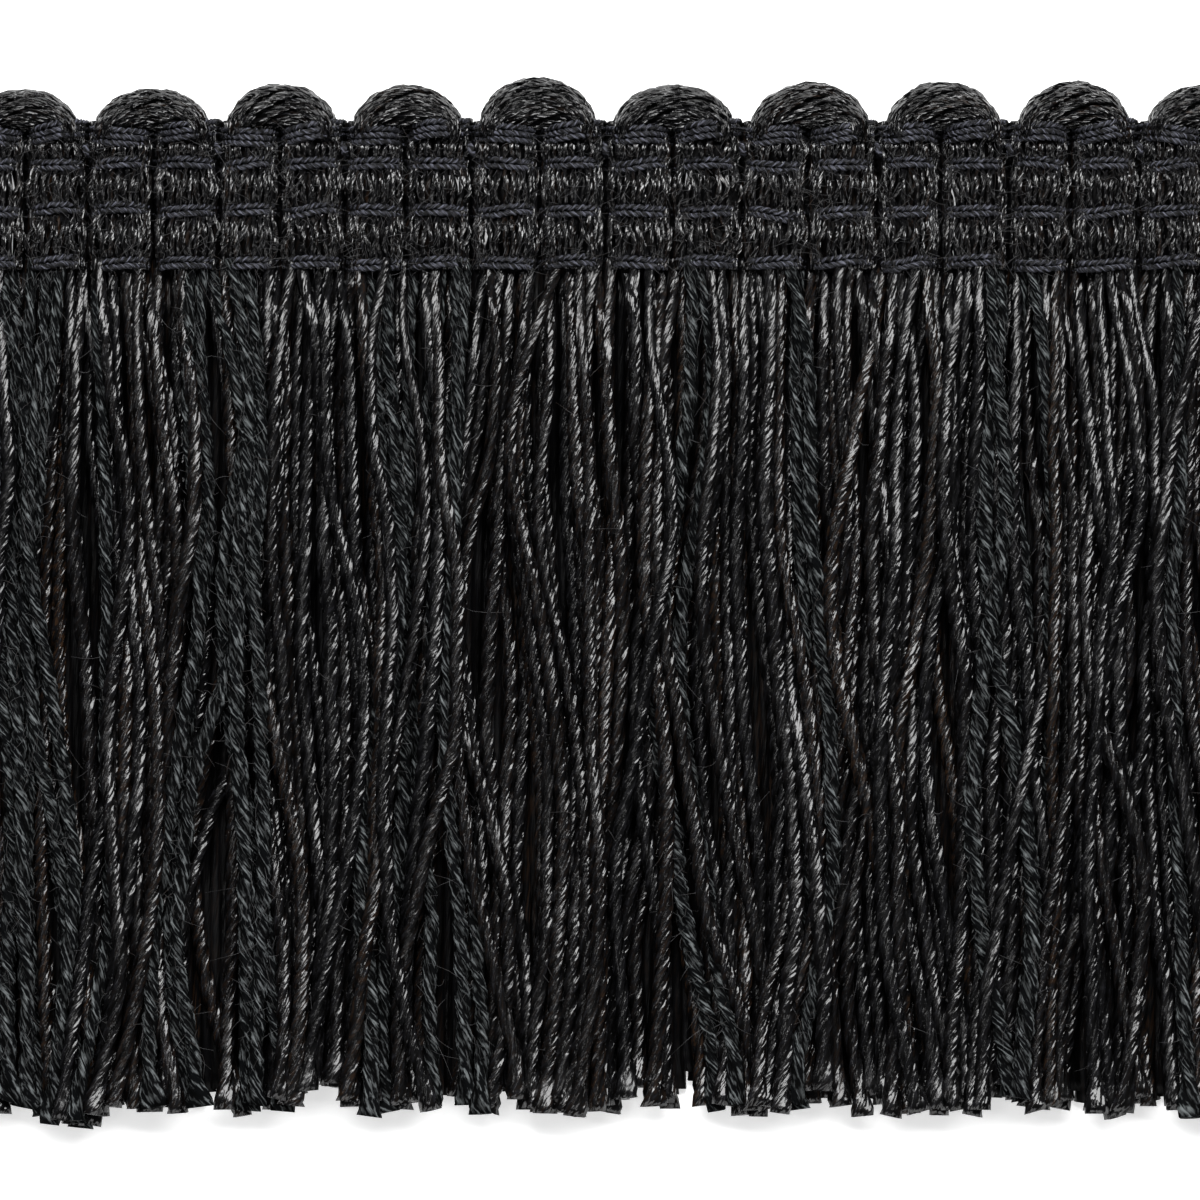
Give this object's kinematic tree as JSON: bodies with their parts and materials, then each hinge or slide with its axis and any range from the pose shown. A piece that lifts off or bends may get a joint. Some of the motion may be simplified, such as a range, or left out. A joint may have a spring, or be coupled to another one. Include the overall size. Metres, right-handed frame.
{
  "type": "brush fringe trim",
  "caption": "Cut length of brush fringe trim: a ribbed woven heading with a scalloped looped edge above and a dense skirt of cut yarn ends below.",
  "frame": {"origin": "on the flat back, under the middle of the whole outline", "axes": "+X along the trim, +Y from the cut ends to the looped edge, +Z out of the face"},
  "size_m": [0.0782, 0.052, 0.0032],
  "materials": {
    "woven_heading": "matte spun binding thread over lustrous filament yarn, near black",
    "cut_yarn": "twisted filament yarn with a satin lustre among matte spun yarn, near black",
    "looped_yarn": "bundled twisted filament yarn with a satin lustre, near black"
  },
  "bodies": {
    "root": {"heading": "woven_heading", "brush_skirt": "cut_yarn", "scallop_loop_01": "looped_yarn", "scallop_loop_02": "looped_yarn", "scallop_loop_03": "looped_yarn", "scallop_loop_04": "looped_yarn", "scallop_loop_05": "looped_yarn", "scallop_loop_06": "looped_yarn", "scallop_loop_07": "looped_yarn", "scallop_loop_08": "looped_yarn", "scallop_loop_09": "looped_yarn", "scallop_loop_10": "looped_yarn", "scallop_loop_11": "looped_yarn", "scallop_loop_12": "looped_yarn"}
  },
  "joints": []
}
